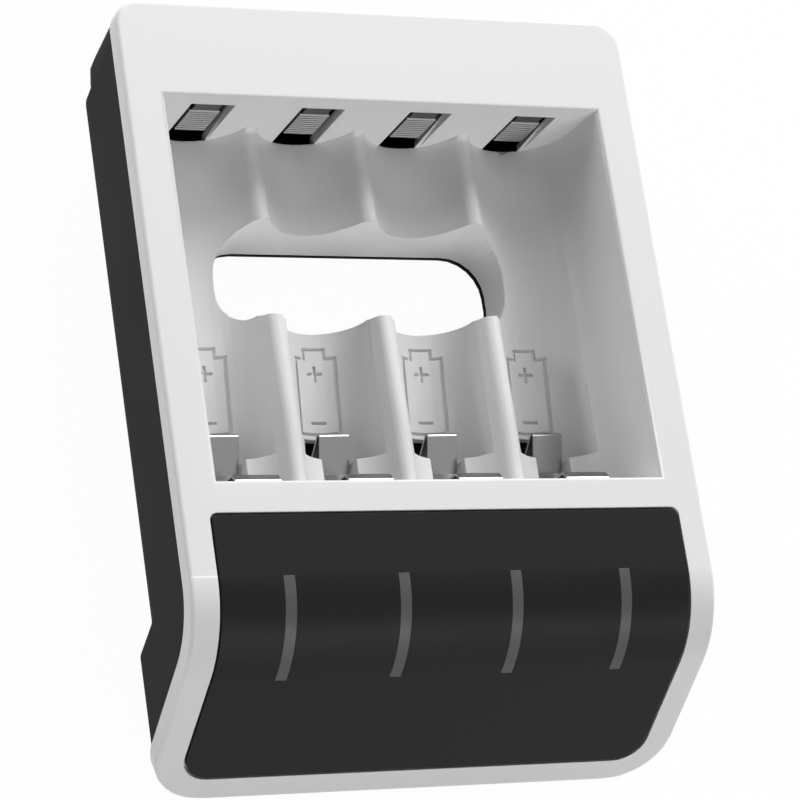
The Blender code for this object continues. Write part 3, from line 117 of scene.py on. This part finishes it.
# Grain of the shared surface
GRAIN_DETAIL = 3.0
GRAIN_DEPTH = 0.00002
GLOSS_SCALE = 60.0
GLOSS_DETAIL = 2.0
GLOSS_RANGE = (0.92, 1.08)
EDGE_SAMPLES = 6

# Finishes of the outer pieces, beside the settings; edge is a share of the edge radius
COVER_FINISH = {"scale": 1400.0, "height": 0.04, "specular": 0.4}
REAR_FINISH = {"roughness": 0.55, "scale": 1400.0, "height": 0.20, "specular": 0.03}
PANEL_FINISH = {"scale": 2200.0, "height": 0.06, "specular": 0.12}
PANEL_EDGE = 0.4
GUIDE_FINISH = {"roughness": 0.35, "scale": 1500.0, "height": 0.02, "specular": 0.3}
GUIDE_EDGE = 0.3
SPRING_FINISH = {"roughness": 0.24, "scale": 2600.0, "height": 0.02, "metallic": 1.0}
SPRING_EDGE = 0.4
PLATE_FINISH = {"roughness": 0.38, "scale": 2600.0, "height": 0.0, "metallic": 1.0}
PLATE_EDGE = 0.2

# Finishes of the inner pieces and the underside
INNER_EDGE = 0.0001
SOFT_EDGE = 0.0003
INNER_FINISHES = {
    "board_lacquer": {
        "colour": (0.010, 0.014, 0.011), "roughness": 0.40, "edge": INNER_EDGE,
        "scale": 600.0, "height": 0.1, "specular": 0.2,
    },
    "package_resin": {
        "colour": (0.018, 0.018, 0.019), "roughness": 0.55, "edge": INNER_EDGE,
        "scale": 1600.0, "height": 0.2,
    },
    "can_bright": {
        "colour": (0.72, 0.72, 0.74), "roughness": 0.28, "edge": INNER_EDGE,
        "scale": 900.0, "height": 0.05, "metallic": 1.0,
    },
    "coil_resin": {
        "colour": (0.10, 0.10, 0.10), "roughness": 0.6, "edge": INNER_EDGE,
        "scale": 700.0, "height": 0.3,
    },
    "lamp_lens": {"colour": (0.72, 0.70, 0.55), "roughness": 0.3, "edge": INNER_EDGE},
    "screw_zinc": {
        "colour": (0.42, 0.42, 0.43), "roughness": 0.34, "edge": INNER_EDGE,
        "scale": 1200.0, "height": 0.1, "metallic": 1.0,
    },
    "pad_rubber_soft": {
        "colour": (0.028, 0.028, 0.028), "roughness": 0.82, "edge": SOFT_EDGE,
        "scale": 1000.0, "height": 0.3,
    },
    "lead_red_pvc": {"colour": (0.42, 0.02, 0.02), "roughness": 0.42, "edge": INNER_EDGE},
    "lead_black_pvc": {"colour": (0.02, 0.02, 0.02), "roughness": 0.42, "edge": INNER_EDGE},
}
INNER_PIECES = {
    "main_board": "board_lacquer",
    "upper_board": "board_lacquer",
    "controller_chip": "package_resin",
    "power_inductor": "coil_resin",
    "inlet_socket": "screw_zinc",
    "capacitor_1": "can_bright",
    "capacitor_2": "can_bright",
    "power_lead_1": "lead_red_pvc",
    "power_lead_2": "lead_black_pvc",
    "foot_pad_1": "pad_rubber_soft",
    "foot_pad_2": "pad_rubber_soft",
    "post_pad_1": "pad_rubber_soft",
    "post_pad_2": "pad_rubber_soft",
}
FOURFOLD_PIECES = {"led_": "lamp_lens", "charge_switch_": "package_resin", "screw_": "screw_zinc"}


class LookSettings(bpy.types.PropertyGroup):
    """Colours and finishes a user would change."""

    cover_colour: bpy.props.FloatVectorProperty(
        name="Cover colour", description="Front cover",
        default=(0.80, 0.80, 0.80), size=3, subtype="COLOR", min=0, max=1,
    )
    cover_roughness: bpy.props.FloatProperty(
        name="Cover roughness", description="Roughness of the front cover",
        default=0.42, min=0, max=1, subtype="FACTOR",
    )
    rear_colour: bpy.props.FloatVectorProperty(
        name="Rear colour", description="Rear cover",
        default=(0.0095, 0.0095, 0.0098), size=3, subtype="COLOR", min=0, max=1,
    )
    panel_colour: bpy.props.FloatVectorProperty(
        name="Panel colour", description="Front inlay",
        default=(0.0105, 0.0105, 0.0115), size=3, subtype="COLOR", min=0, max=1,
    )
    panel_roughness: bpy.props.FloatProperty(
        name="Panel roughness", description="Roughness of the inlay",
        default=0.40, min=0, max=1, subtype="FACTOR",
    )
    guide_colour: bpy.props.FloatVectorProperty(
        name="Light bar colour", description="Light guides",
        default=(0.085, 0.085, 0.088), size=3, subtype="COLOR", min=0, max=1,
    )
    spring_colour: bpy.props.FloatVectorProperty(
        name="Spring colour", description="Tall and low springs",
        default=(0.25, 0.25, 0.25), size=3, subtype="COLOR", min=0, max=1,
    )
    # The plates' nickel colour is darker than the springs' as painted shade for their place in the far
    # wall's windows.
    plate_shaded_colour: bpy.props.FloatVectorProperty(
        name="Plate colour", description="Ribbed plates",
        default=(0.185, 0.183, 0.178), size=3, subtype="COLOR", min=0, max=1,
    )
    edge_radius: bpy.props.FloatProperty(
        name="Edge radius", description="Small rounding seen on moulded edges",
        default=0.00018, min=0, max=0.001, unit="LENGTH",
    )


class LightSettings(bpy.types.PropertyGroup):
    """Strengths of the studio light."""

    key_strength: bpy.props.FloatProperty(
        name="Key light", description="Power of the large lamp at the far end, in watts",
        default=76.0, min=0, unit="POWER",
    )
    fill_strength: bpy.props.FloatProperty(
        name="Fill light", description="Power of the front lamp, in watts",
        default=14.0, min=0, unit="POWER",
    )
    side_strength: bpy.props.FloatProperty(
        name="Side light", description="Power of the low lamp on the left, in watts",
        default=10.0, min=0, unit="POWER",
    )
    band_strength: bpy.props.FloatProperty(
        name="Band light", description="Power of the small lamp over the bend, in watts",
        default=4.0, min=0, unit="POWER",
    )
    world_level: bpy.props.FloatProperty(
        name="World level", description="Even light from all round",
        default=0.06, min=0, max=1, subtype="FACTOR",
    )
    floor_colour: bpy.props.FloatVectorProperty(
        name="Floor colour", description="Pale floor",
        default=(0.86, 0.86, 0.86), size=3, subtype="COLOR", min=0, max=1,
    )


def principled(name):
    """New material, its node tree and its Principled shader."""
    made = bpy.data.materials.new(name)
    made.use_nodes = True
    tree = made.node_tree
    return made, tree, tree.nodes["Principled BSDF"]


def add_node(tree, kind, x, y, **values):
    """Node of a kind at a place, with its properties set."""
    node = tree.nodes.new(kind)
    node.location = (x, y)
    for name, value in values.items():
        setattr(node, name, value)
    return node


def moulding_group():
    """Node group: fine surface grain with rounded edges, and a slow change of gloss."""
    if "Moulded surface" in bpy.data.node_groups:
        return bpy.data.node_groups["Moulded surface"]
    group = bpy.data.node_groups.new("Moulded surface", "ShaderNodeTree")
    sockets = group.interface
    for name in ("Grain scale", "Grain height", "Edge radius", "Roughness"):
        sockets.new_socket(name, in_out="INPUT", socket_type="NodeSocketFloat")
    sockets.new_socket("Roughness", in_out="OUTPUT", socket_type="NodeSocketFloat")
    sockets.new_socket("Normal", in_out="OUTPUT", socket_type="NodeSocketVector")
    enter = add_node(group, "NodeGroupInput", -900, 0)
    leave = add_node(group, "NodeGroupOutput", 500, 0)
    place = add_node(group, "ShaderNodeTexCoord", -900, -300)
    grain = add_node(group, "ShaderNodeTexNoise", -600, -200)
    grain.inputs["Detail"].default_value = GRAIN_DETAIL
    slow = add_node(group, "ShaderNodeTexNoise", -600, -500)
    slow.inputs["Scale"].default_value = GLOSS_SCALE
    slow.inputs["Detail"].default_value = GLOSS_DETAIL
    edge = add_node(group, "ShaderNodeBevel", -600, 200, samples=EDGE_SAMPLES)
    bump = add_node(group, "ShaderNodeBump", 0, 0)
    bump.inputs["Distance"].default_value = GRAIN_DEPTH
    spread = add_node(group, "ShaderNodeMapRange", -300, -500)
    spread.inputs["To Min"].default_value, spread.inputs["To Max"].default_value = GLOSS_RANGE
    rough = add_node(group, "ShaderNodeMath", 0, -400, operation="MULTIPLY")
    link = group.links.new
    link(place.outputs["Object"], grain.inputs["Vector"])
    link(place.outputs["Object"], slow.inputs["Vector"])
    link(enter.outputs["Grain scale"], grain.inputs["Scale"])
    link(enter.outputs["Grain height"], bump.inputs["Strength"])
    link(enter.outputs["Edge radius"], edge.inputs["Radius"])
    link(grain.outputs["Fac"], bump.inputs["Height"])
    link(edge.outputs["Normal"], bump.inputs["Normal"])
    link(slow.outputs["Fac"], spread.inputs["Value"])
    link(spread.outputs["Result"], rough.inputs[0])
    link(enter.outputs["Roughness"], rough.inputs[1])
    link(rough.outputs["Value"], leave.inputs["Roughness"])
    link(bump.outputs["Normal"], leave.inputs["Normal"])
    return group


def moulded(name, colour, edge, roughness, scale=900.0, height=0.05, metallic=0.0, specular=0.5):
    """Plastic or metal with the shared surface group."""
    made, tree, shader = principled(name)
    surface = add_node(tree, "ShaderNodeGroup", -400, 0)
    surface.node_tree = moulding_group()
    surface.inputs["Grain scale"].default_value = scale
    surface.inputs["Grain height"].default_value = height
    surface.inputs["Edge radius"].default_value = edge
    surface.inputs["Roughness"].default_value = roughness
    shader.inputs["Base Color"].default_value = (*colour, 1.0)
    shader.inputs["Metallic"].default_value = metallic
    shader.inputs["Specular IOR Level"].default_value = specular
    tree.links.new(surface.outputs["Roughness"], shader.inputs["Roughness"])
    tree.links.new(surface.outputs["Normal"], shader.inputs["Normal"])
    return made


def add_painted_bend_highlight(tree, colour):
    """Painted highlight: a white hairline painted into the base colour on the left bezel where the flat
    face meets the bend, standing in for a glint of light.
    """
    place = add_node(tree, "ShaderNodeTexCoord", -1400, 400)
    parts = add_node(tree, "ShaderNodeSeparateXYZ", -1200, 400)
    away = add_node(tree, "ShaderNodeMath", -1000, 500, operation="SUBTRACT")
    away.inputs[1].default_value = BEND_Y
    size = add_node(tree, "ShaderNodeMath", -800, 500, operation="ABSOLUTE")
    near = add_node(tree, "ShaderNodeMath", -600, 500, operation="LESS_THAN")
    near.inputs[1].default_value = BEND_HIGHLIGHT_HALF
    above = add_node(tree, "ShaderNodeMath", -600, 300, operation="GREATER_THAN")
    above.inputs[1].default_value = FACE_Z - BEND_HIGHLIGHT_HALF
    left = add_node(tree, "ShaderNodeMath", -600, 700, operation="LESS_THAN")
    left.inputs[1].default_value = 0.0
    band = add_node(tree, "ShaderNodeMath", -400, 600, operation="MULTIPLY")
    mask = add_node(tree, "ShaderNodeMath", -400, 400, operation="MULTIPLY")
    # White mixed into the base colour inside the mask: the painted highlight.
    mix = add_node(tree, "ShaderNodeMix", -200, 400, data_type="RGBA")
    mix.inputs["A"].default_value = (*colour, 1.0)
    mix.inputs["B"].default_value = (1.0, 1.0, 1.0, 1.0)
    link = tree.links.new
    link(place.outputs["Object"], parts.inputs["Vector"])
    link(parts.outputs["Y"], away.inputs[0])
    link(away.outputs["Value"], size.inputs[0])
    link(size.outputs["Value"], near.inputs[0])
    link(parts.outputs["Z"], above.inputs[0])
    link(parts.outputs["X"], left.inputs[0])
    link(near.outputs["Value"], band.inputs[0])
    link(left.outputs["Value"], band.inputs[1])
    link(band.outputs["Value"], mask.inputs[0])
    link(above.outputs["Value"], mask.inputs[1])
    link(mask.outputs["Value"], mix.inputs["Factor"])
    link(mix.outputs["Result"], tree.nodes["Principled BSDF"].inputs["Base Color"])


def round_low_corners(bm):
    """Finer rounding of the two low corners of the front cover."""
    for side in (-1, 1):
        centre = BEND_END + (SLOPE_LENGTH - LOW_CORNER_R) * SLOPE_DOWN
        centre.x = side * (COVER_HALF - LOW_CORNER_R)
        for _ in range(CORNER_CUTS):
            halve_corner(bm, centre, side)


def corner_polar(point, centre, side):
    """Radius, angle and height of a point about a low corner's axis."""
    arm = point - centre
    across = side * arm.x
    down = arm.dot(SLOPE_DOWN)
    return Vector((math.hypot(across, down), math.atan2(down, across), arm.dot(SLOPE_OUT)))


def place_key(point):
    """Rounded place of a point, to look it up by."""
    return tuple(round(value, PLACE_DIGITS) for value in point)


def halve_corner(bm, centre, side):
    """Cut each edge on the corner's round once, and set the new points on the round."""
    found = {}
    for vert in bm.verts:
        polar = corner_polar(vert.co, centre, side)
        on_round = LOW_CORNER_R - EDGE_ROUNDING - CORNER_NEAR < polar.x < LOW_CORNER_R + CORNER_NEAR
        if on_round and -CORNER_NEAR < polar.y < math.pi / 2.0 + CORNER_NEAR:
            found[vert] = polar
    edges = [edge for edge in bm.edges if all(vert in found for vert in edge.verts)]
    middles = {}
    for edge in edges:
        first, second = edge.verts
        middles[place_key((first.co + second.co) / 2.0)] = (found[first] + found[second]) / 2.0
    made = bmesh.ops.subdivide_edges(bm, edges=edges, cuts=1)
    for item in made["geom_inner"]:
        if isinstance(item, bmesh.types.BMVert):
            polar = middles.get(place_key(item.co))
            if polar is not None:
                across = Vector((side * math.cos(polar.y), 0.0, 0.0)) + math.sin(polar.y) * SLOPE_DOWN
                item.co = centre + polar.x * across + polar.z * SLOPE_OUT


def close_bar_slots(bm):
    """Brings the walls of the four bar slots up to the bars."""
    shift = BAR_GAP - BAR_SEAM
    for vert in bm.verts:
        for number in SLOTS:
            x = (number - SLOT_MIDDLE) * SLOT_PITCH
            off = vert.co.x - x
            if abs(abs(off) - BAR_HALF - BAR_GAP) > BAR_WALL_NEAR:
                continue
            vert.co.x = x + math.copysign(BAR_HALF + BAR_SEAM, off)
            past = (vert.co - BEND_END).dot(SLOPE_DOWN)
            if abs(vert.co.y - BEND_Y - BAR_GAP) < BAR_WALL_NEAR:
                vert.co.y -= shift
            elif abs(past - BAR_PAST_BEND - BAR_GAP) < BAR_WALL_NEAR:
                vert.co -= shift * SLOPE_DOWN


def fine_copy(node_name, piece_name, material, body="housing", reshape=None):
    """Welded and smoothly shaded piece that stands for a CAD node."""
    bm = bmesh.new()
    bm.from_mesh(NODES[node_name].data)
    bmesh.ops.remove_doubles(bm, verts=bm.verts, dist=WELD_DISTANCE)
    if reshape is not None:
        reshape(bm)
    bmesh.ops.recalc_face_normals(bm, faces=bm.faces)
    for face in bm.faces:
        face.smooth = True
    for edge in bm.edges:
        edge.smooth = edge.calc_face_angle(math.pi) < SMOOTH_ANGLE
    mesh = bpy.data.meshes.new(piece_name)
    bm.to_mesh(mesh)
    bm.free()
    mesh.materials.append(material)
    made = bpy.data.objects.new(piece_name, mesh)
    bpy.context.scene.collection.objects.link(made)
    even = made.modifiers.new("even_normals", "WEIGHTED_NORMAL")
    even.keep_sharp = True
    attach(made, body)
    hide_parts(node_name)
    return made


class CHARGER_OT_covers(bpy.types.Operator):
    """Front cover and rear cover"""

    bl_idname = "charger.covers"
    bl_label = "Covers"

    def execute(self, context):
        look = context.scene.charger_look
        edge = look.edge_radius
        white = moulded("cover_white", look.cover_colour, edge, look.cover_roughness, **COVER_FINISH)
        black = moulded("rear_black", look.rear_colour, edge, **REAR_FINISH)
        # Paints a white highlight hairline into the cover's colour at the bend on the left bezel.
        add_painted_bend_highlight(white.node_tree, look.cover_colour)
        fine_copy("front_cover", "front_cover_fine", white, reshape=round_low_corners)
        fine_copy("rear_cover", "rear_cover_fine", black)
        return {"FINISHED"}


class CHARGER_OT_panel(bpy.types.Operator):
    """Dark inlay and the four light bars"""

    bl_idname = "charger.front_panel"
    bl_label = "Front panel"

    def execute(self, context):
        look = context.scene.charger_look
        edge = look.edge_radius
        inlay = moulded(
            "panel_satin", look.panel_colour, edge * PANEL_EDGE, look.panel_roughness, **PANEL_FINISH
        )
        fine_copy("front_panel", "front_panel_fine", inlay, reshape=close_bar_slots)
        bar = moulded("guide_smoke", look.guide_colour, edge * GUIDE_EDGE, **GUIDE_FINISH)
        for number in SLOTS:
            fine_copy("light_guide_" + str(number), "light_bar_" + str(number), bar)
        return {"FINISHED"}


class CHARGER_OT_contacts(bpy.types.Operator):
    """Springs and ribbed plates in the slots"""

    bl_idname = "charger.contacts"
    bl_label = "Contacts"

    def execute(self, context):
        look = context.scene.charger_look
        edge = look.edge_radius
        nickel = moulded("nickel_bright", look.spring_colour, edge * SPRING_EDGE, **SPRING_FINISH)
        # Plate nickel: the higher roughness is its own finish, and the darker colour is painted shade.
        shaded_nickel = moulded("nickel_satin_painted_shade", look.plate_shaded_colour, edge * PLATE_EDGE, **PLATE_FINISH)
        for number in SLOTS:
            label = str(number)
            fine_copy("aa_spring_" + label, "tall_spring_" + label, nickel, "aa_leaf_" + label)
            fine_copy("aaa_spring_" + label, "low_spring_" + label, nickel, "aaa_leaf_" + label)
            fine_copy("positive_contact_" + label, "plate_" + label, shaded_nickel)
        return {"FINISHED"}


class CHARGER_OT_inside(bpy.types.Operator):
    """Boards, parts on them, screws and pads"""

    bl_idname = "charger.inside"
    bl_label = "Inside and underside"

    def execute(self, context):
        finishes = {name: moulded(name, **values) for name, values in INNER_FINISHES.items()}
        plan = dict(INNER_PIECES)
        for number in SLOTS:
            for stem, finish in FOURFOLD_PIECES.items():
                plan[stem + str(number)] = finish
        for node_name, finish in plan.items():
            fine_copy(node_name, node_name + "_fine", finishes[finish])
        return {"FINISHED"}


class CHARGER_OT_stage(bpy.types.Operator):
    """Floor, lamps, world and camera"""

    bl_idname = "charger.stage"
    bl_label = "Stage"

    def execute(self, context):
        light = context.scene.charger_light
        make_floor(light.floor_colour)
        make_world(light.world_level)
        make_lamp("key_lamp", KEY_PLACE, KEY_SIZE, light.key_strength)
        make_lamp("fill_lamp", FILL_PLACE, FILL_SIZE, light.fill_strength)
        make_lamp("side_lamp", SIDE_PLACE, SIDE_SIZE, light.side_strength)
        make_lamp("band_lamp", BAND_PLACE, BAND_SIZE, light.band_strength)
        make_camera(context)
        return {"FINISHED"}


def seen_mask(tree, x, y):
    """One for camera, glossy and transmission rays, zero for others."""
    path = add_node(tree, "ShaderNodeLightPath", x, y)
    first = add_node(tree, "ShaderNodeMath", x + 200, y, operation="MAXIMUM")
    second = add_node(tree, "ShaderNodeMath", x + 400, y, operation="MAXIMUM")
    tree.links.new(path.outputs["Is Camera Ray"], first.inputs[0])
    tree.links.new(path.outputs["Is Transmission Ray"], first.inputs[1])
    tree.links.new(first.outputs["Value"], second.inputs[0])
    tree.links.new(path.outputs["Is Glossy Ray"], second.inputs[1])
    return second.outputs["Value"]


def make_floor(colour):
    """Pale floor on the table plane."""
    bm = bmesh.new()
    bmesh.ops.create_grid(bm, x_segments=1, y_segments=1, size=FLOOR_SIZE / 2.0)
    mesh = bpy.data.meshes.new("floor")
    bm.to_mesh(mesh)
    bm.free()
    floor = bpy.data.objects.new("floor", mesh)
    bpy.context.scene.collection.objects.link(floor)
    pale, tree, shader = principled("floor_pale")
    shader.inputs["Base Color"].default_value = (*colour, 1.0)
    shader.inputs["Roughness"].default_value = FLOOR_ROUGHNESS
    glow = add_node(tree, "ShaderNodeEmission", -200, -300)
    glow.inputs["Color"].default_value = (1.0, 1.0, 1.0, 1.0)
    mix = add_node(tree, "ShaderNodeMixShader", 200, 0)
    fade = add_node(tree, "ShaderNodeMath", 0, 200, operation="MULTIPLY")
    fade.inputs[1].default_value = FLOOR_GLOW
    tree.links.new(seen_mask(tree, -800, 300), fade.inputs[0])
    tree.links.new(fade.outputs["Value"], mix.inputs["Fac"])
    tree.links.new(shader.outputs["BSDF"], mix.inputs[1])
    tree.links.new(glow.outputs["Emission"], mix.inputs[2])
    tree.links.new(mix.outputs["Shader"], tree.nodes["Material Output"].inputs["Surface"])
    mesh.materials.append(pale)


def make_world(level):
    """Even light from all round that is white where the camera or a reflection sees it."""
    world = bpy.data.worlds.new("studio")
    bpy.context.scene.world = world
    world.use_nodes = True
    tree = world.node_tree
    back = tree.nodes["Background"]
    back.inputs["Color"].default_value = (1.0, 1.0, 1.0, 1.0)
    span = add_node(tree, "ShaderNodeMapRange", -200, 0)
    span.inputs["To Min"].default_value = level
    span.inputs["To Max"].default_value = 1.0
    tree.links.new(seen_mask(tree, -900, 0), span.inputs["Value"])
    tree.links.new(span.outputs["Result"], back.inputs["Strength"])


def make_lamp(name, place, size, power):
    """Square area lamp that faces the charger."""
    data = bpy.data.lights.new(name, "AREA")
    data.shape = "SQUARE"
    data.size = size
    data.energy = power
    lamp = bpy.data.objects.new(name, data)
    lamp.location = place
    aim = Vector(LAMP_TARGET) - Vector(place)
    lamp.rotation_euler = aim.to_track_quat("-Z", "Y").to_euler()
    bpy.context.scene.collection.objects.link(lamp)


def make_camera(context):
    """Camera at the photograph's place, turn and lens."""
    data = bpy.data.cameras.new("photo_camera")
    data.sensor_width = SENSOR_WIDTH
    data.lens = CAMERA_LENS
    data.clip_start = CAMERA_NEAR
    camera = bpy.data.objects.new("photo_camera", data)
    turn = Matrix((CAMERA_RIGHT, CAMERA_UP, CAMERA_BACK)).transposed().to_4x4()
    camera.matrix_world = Matrix.Translation(CAMERA_PLACE) @ turn
    context.scene.collection.objects.link(camera)
    context.scene.camera = camera


class CHARGER_PT_look(bpy.types.Panel):
    """Lists the pieces and their settings"""

    bl_idname = "CHARGER_PT_look"
    bl_label = "Charger"
    bl_space_type = "VIEW_3D"
    bl_region_type = "UI"
    bl_category = "Charger"

    def draw(self, context):
        column = self.layout.column()
        for group in (context.scene.charger_look, context.scene.charger_light):
            for name in group.bl_rna.properties.keys():
                if name not in {"rna_type", "name"}:
                    column.prop(group, name)
        for operator in OPERATORS:
            column.operator(operator.bl_idname)


OPERATORS = (CHARGER_OT_covers, CHARGER_OT_panel, CHARGER_OT_contacts, CHARGER_OT_inside, CHARGER_OT_stage)
CLASSES = (LookSettings, LightSettings, *OPERATORS, CHARGER_PT_look)


def register():
    """Add the classes and the scene settings."""
    for item in CLASSES:
        bpy.utils.register_class(item)
    bpy.types.Scene.charger_look = bpy.props.PointerProperty(type=LookSettings)
    bpy.types.Scene.charger_light = bpy.props.PointerProperty(type=LightSettings)


def unregister():
    """Remove the scene settings and the classes."""
    del bpy.types.Scene.charger_look
    del bpy.types.Scene.charger_light
    for item in reversed(CLASSES):
        bpy.utils.unregister_class(item)


def main():
    """Build every piece."""
    register()
    bpy.context.scene.view_settings.view_transform = "Standard"
    bpy.ops.charger.covers()
    bpy.ops.charger.front_panel()
    bpy.ops.charger.contacts()
    bpy.ops.charger.inside()
    bpy.ops.charger.stage()


if __name__ == "__main__":
    main()
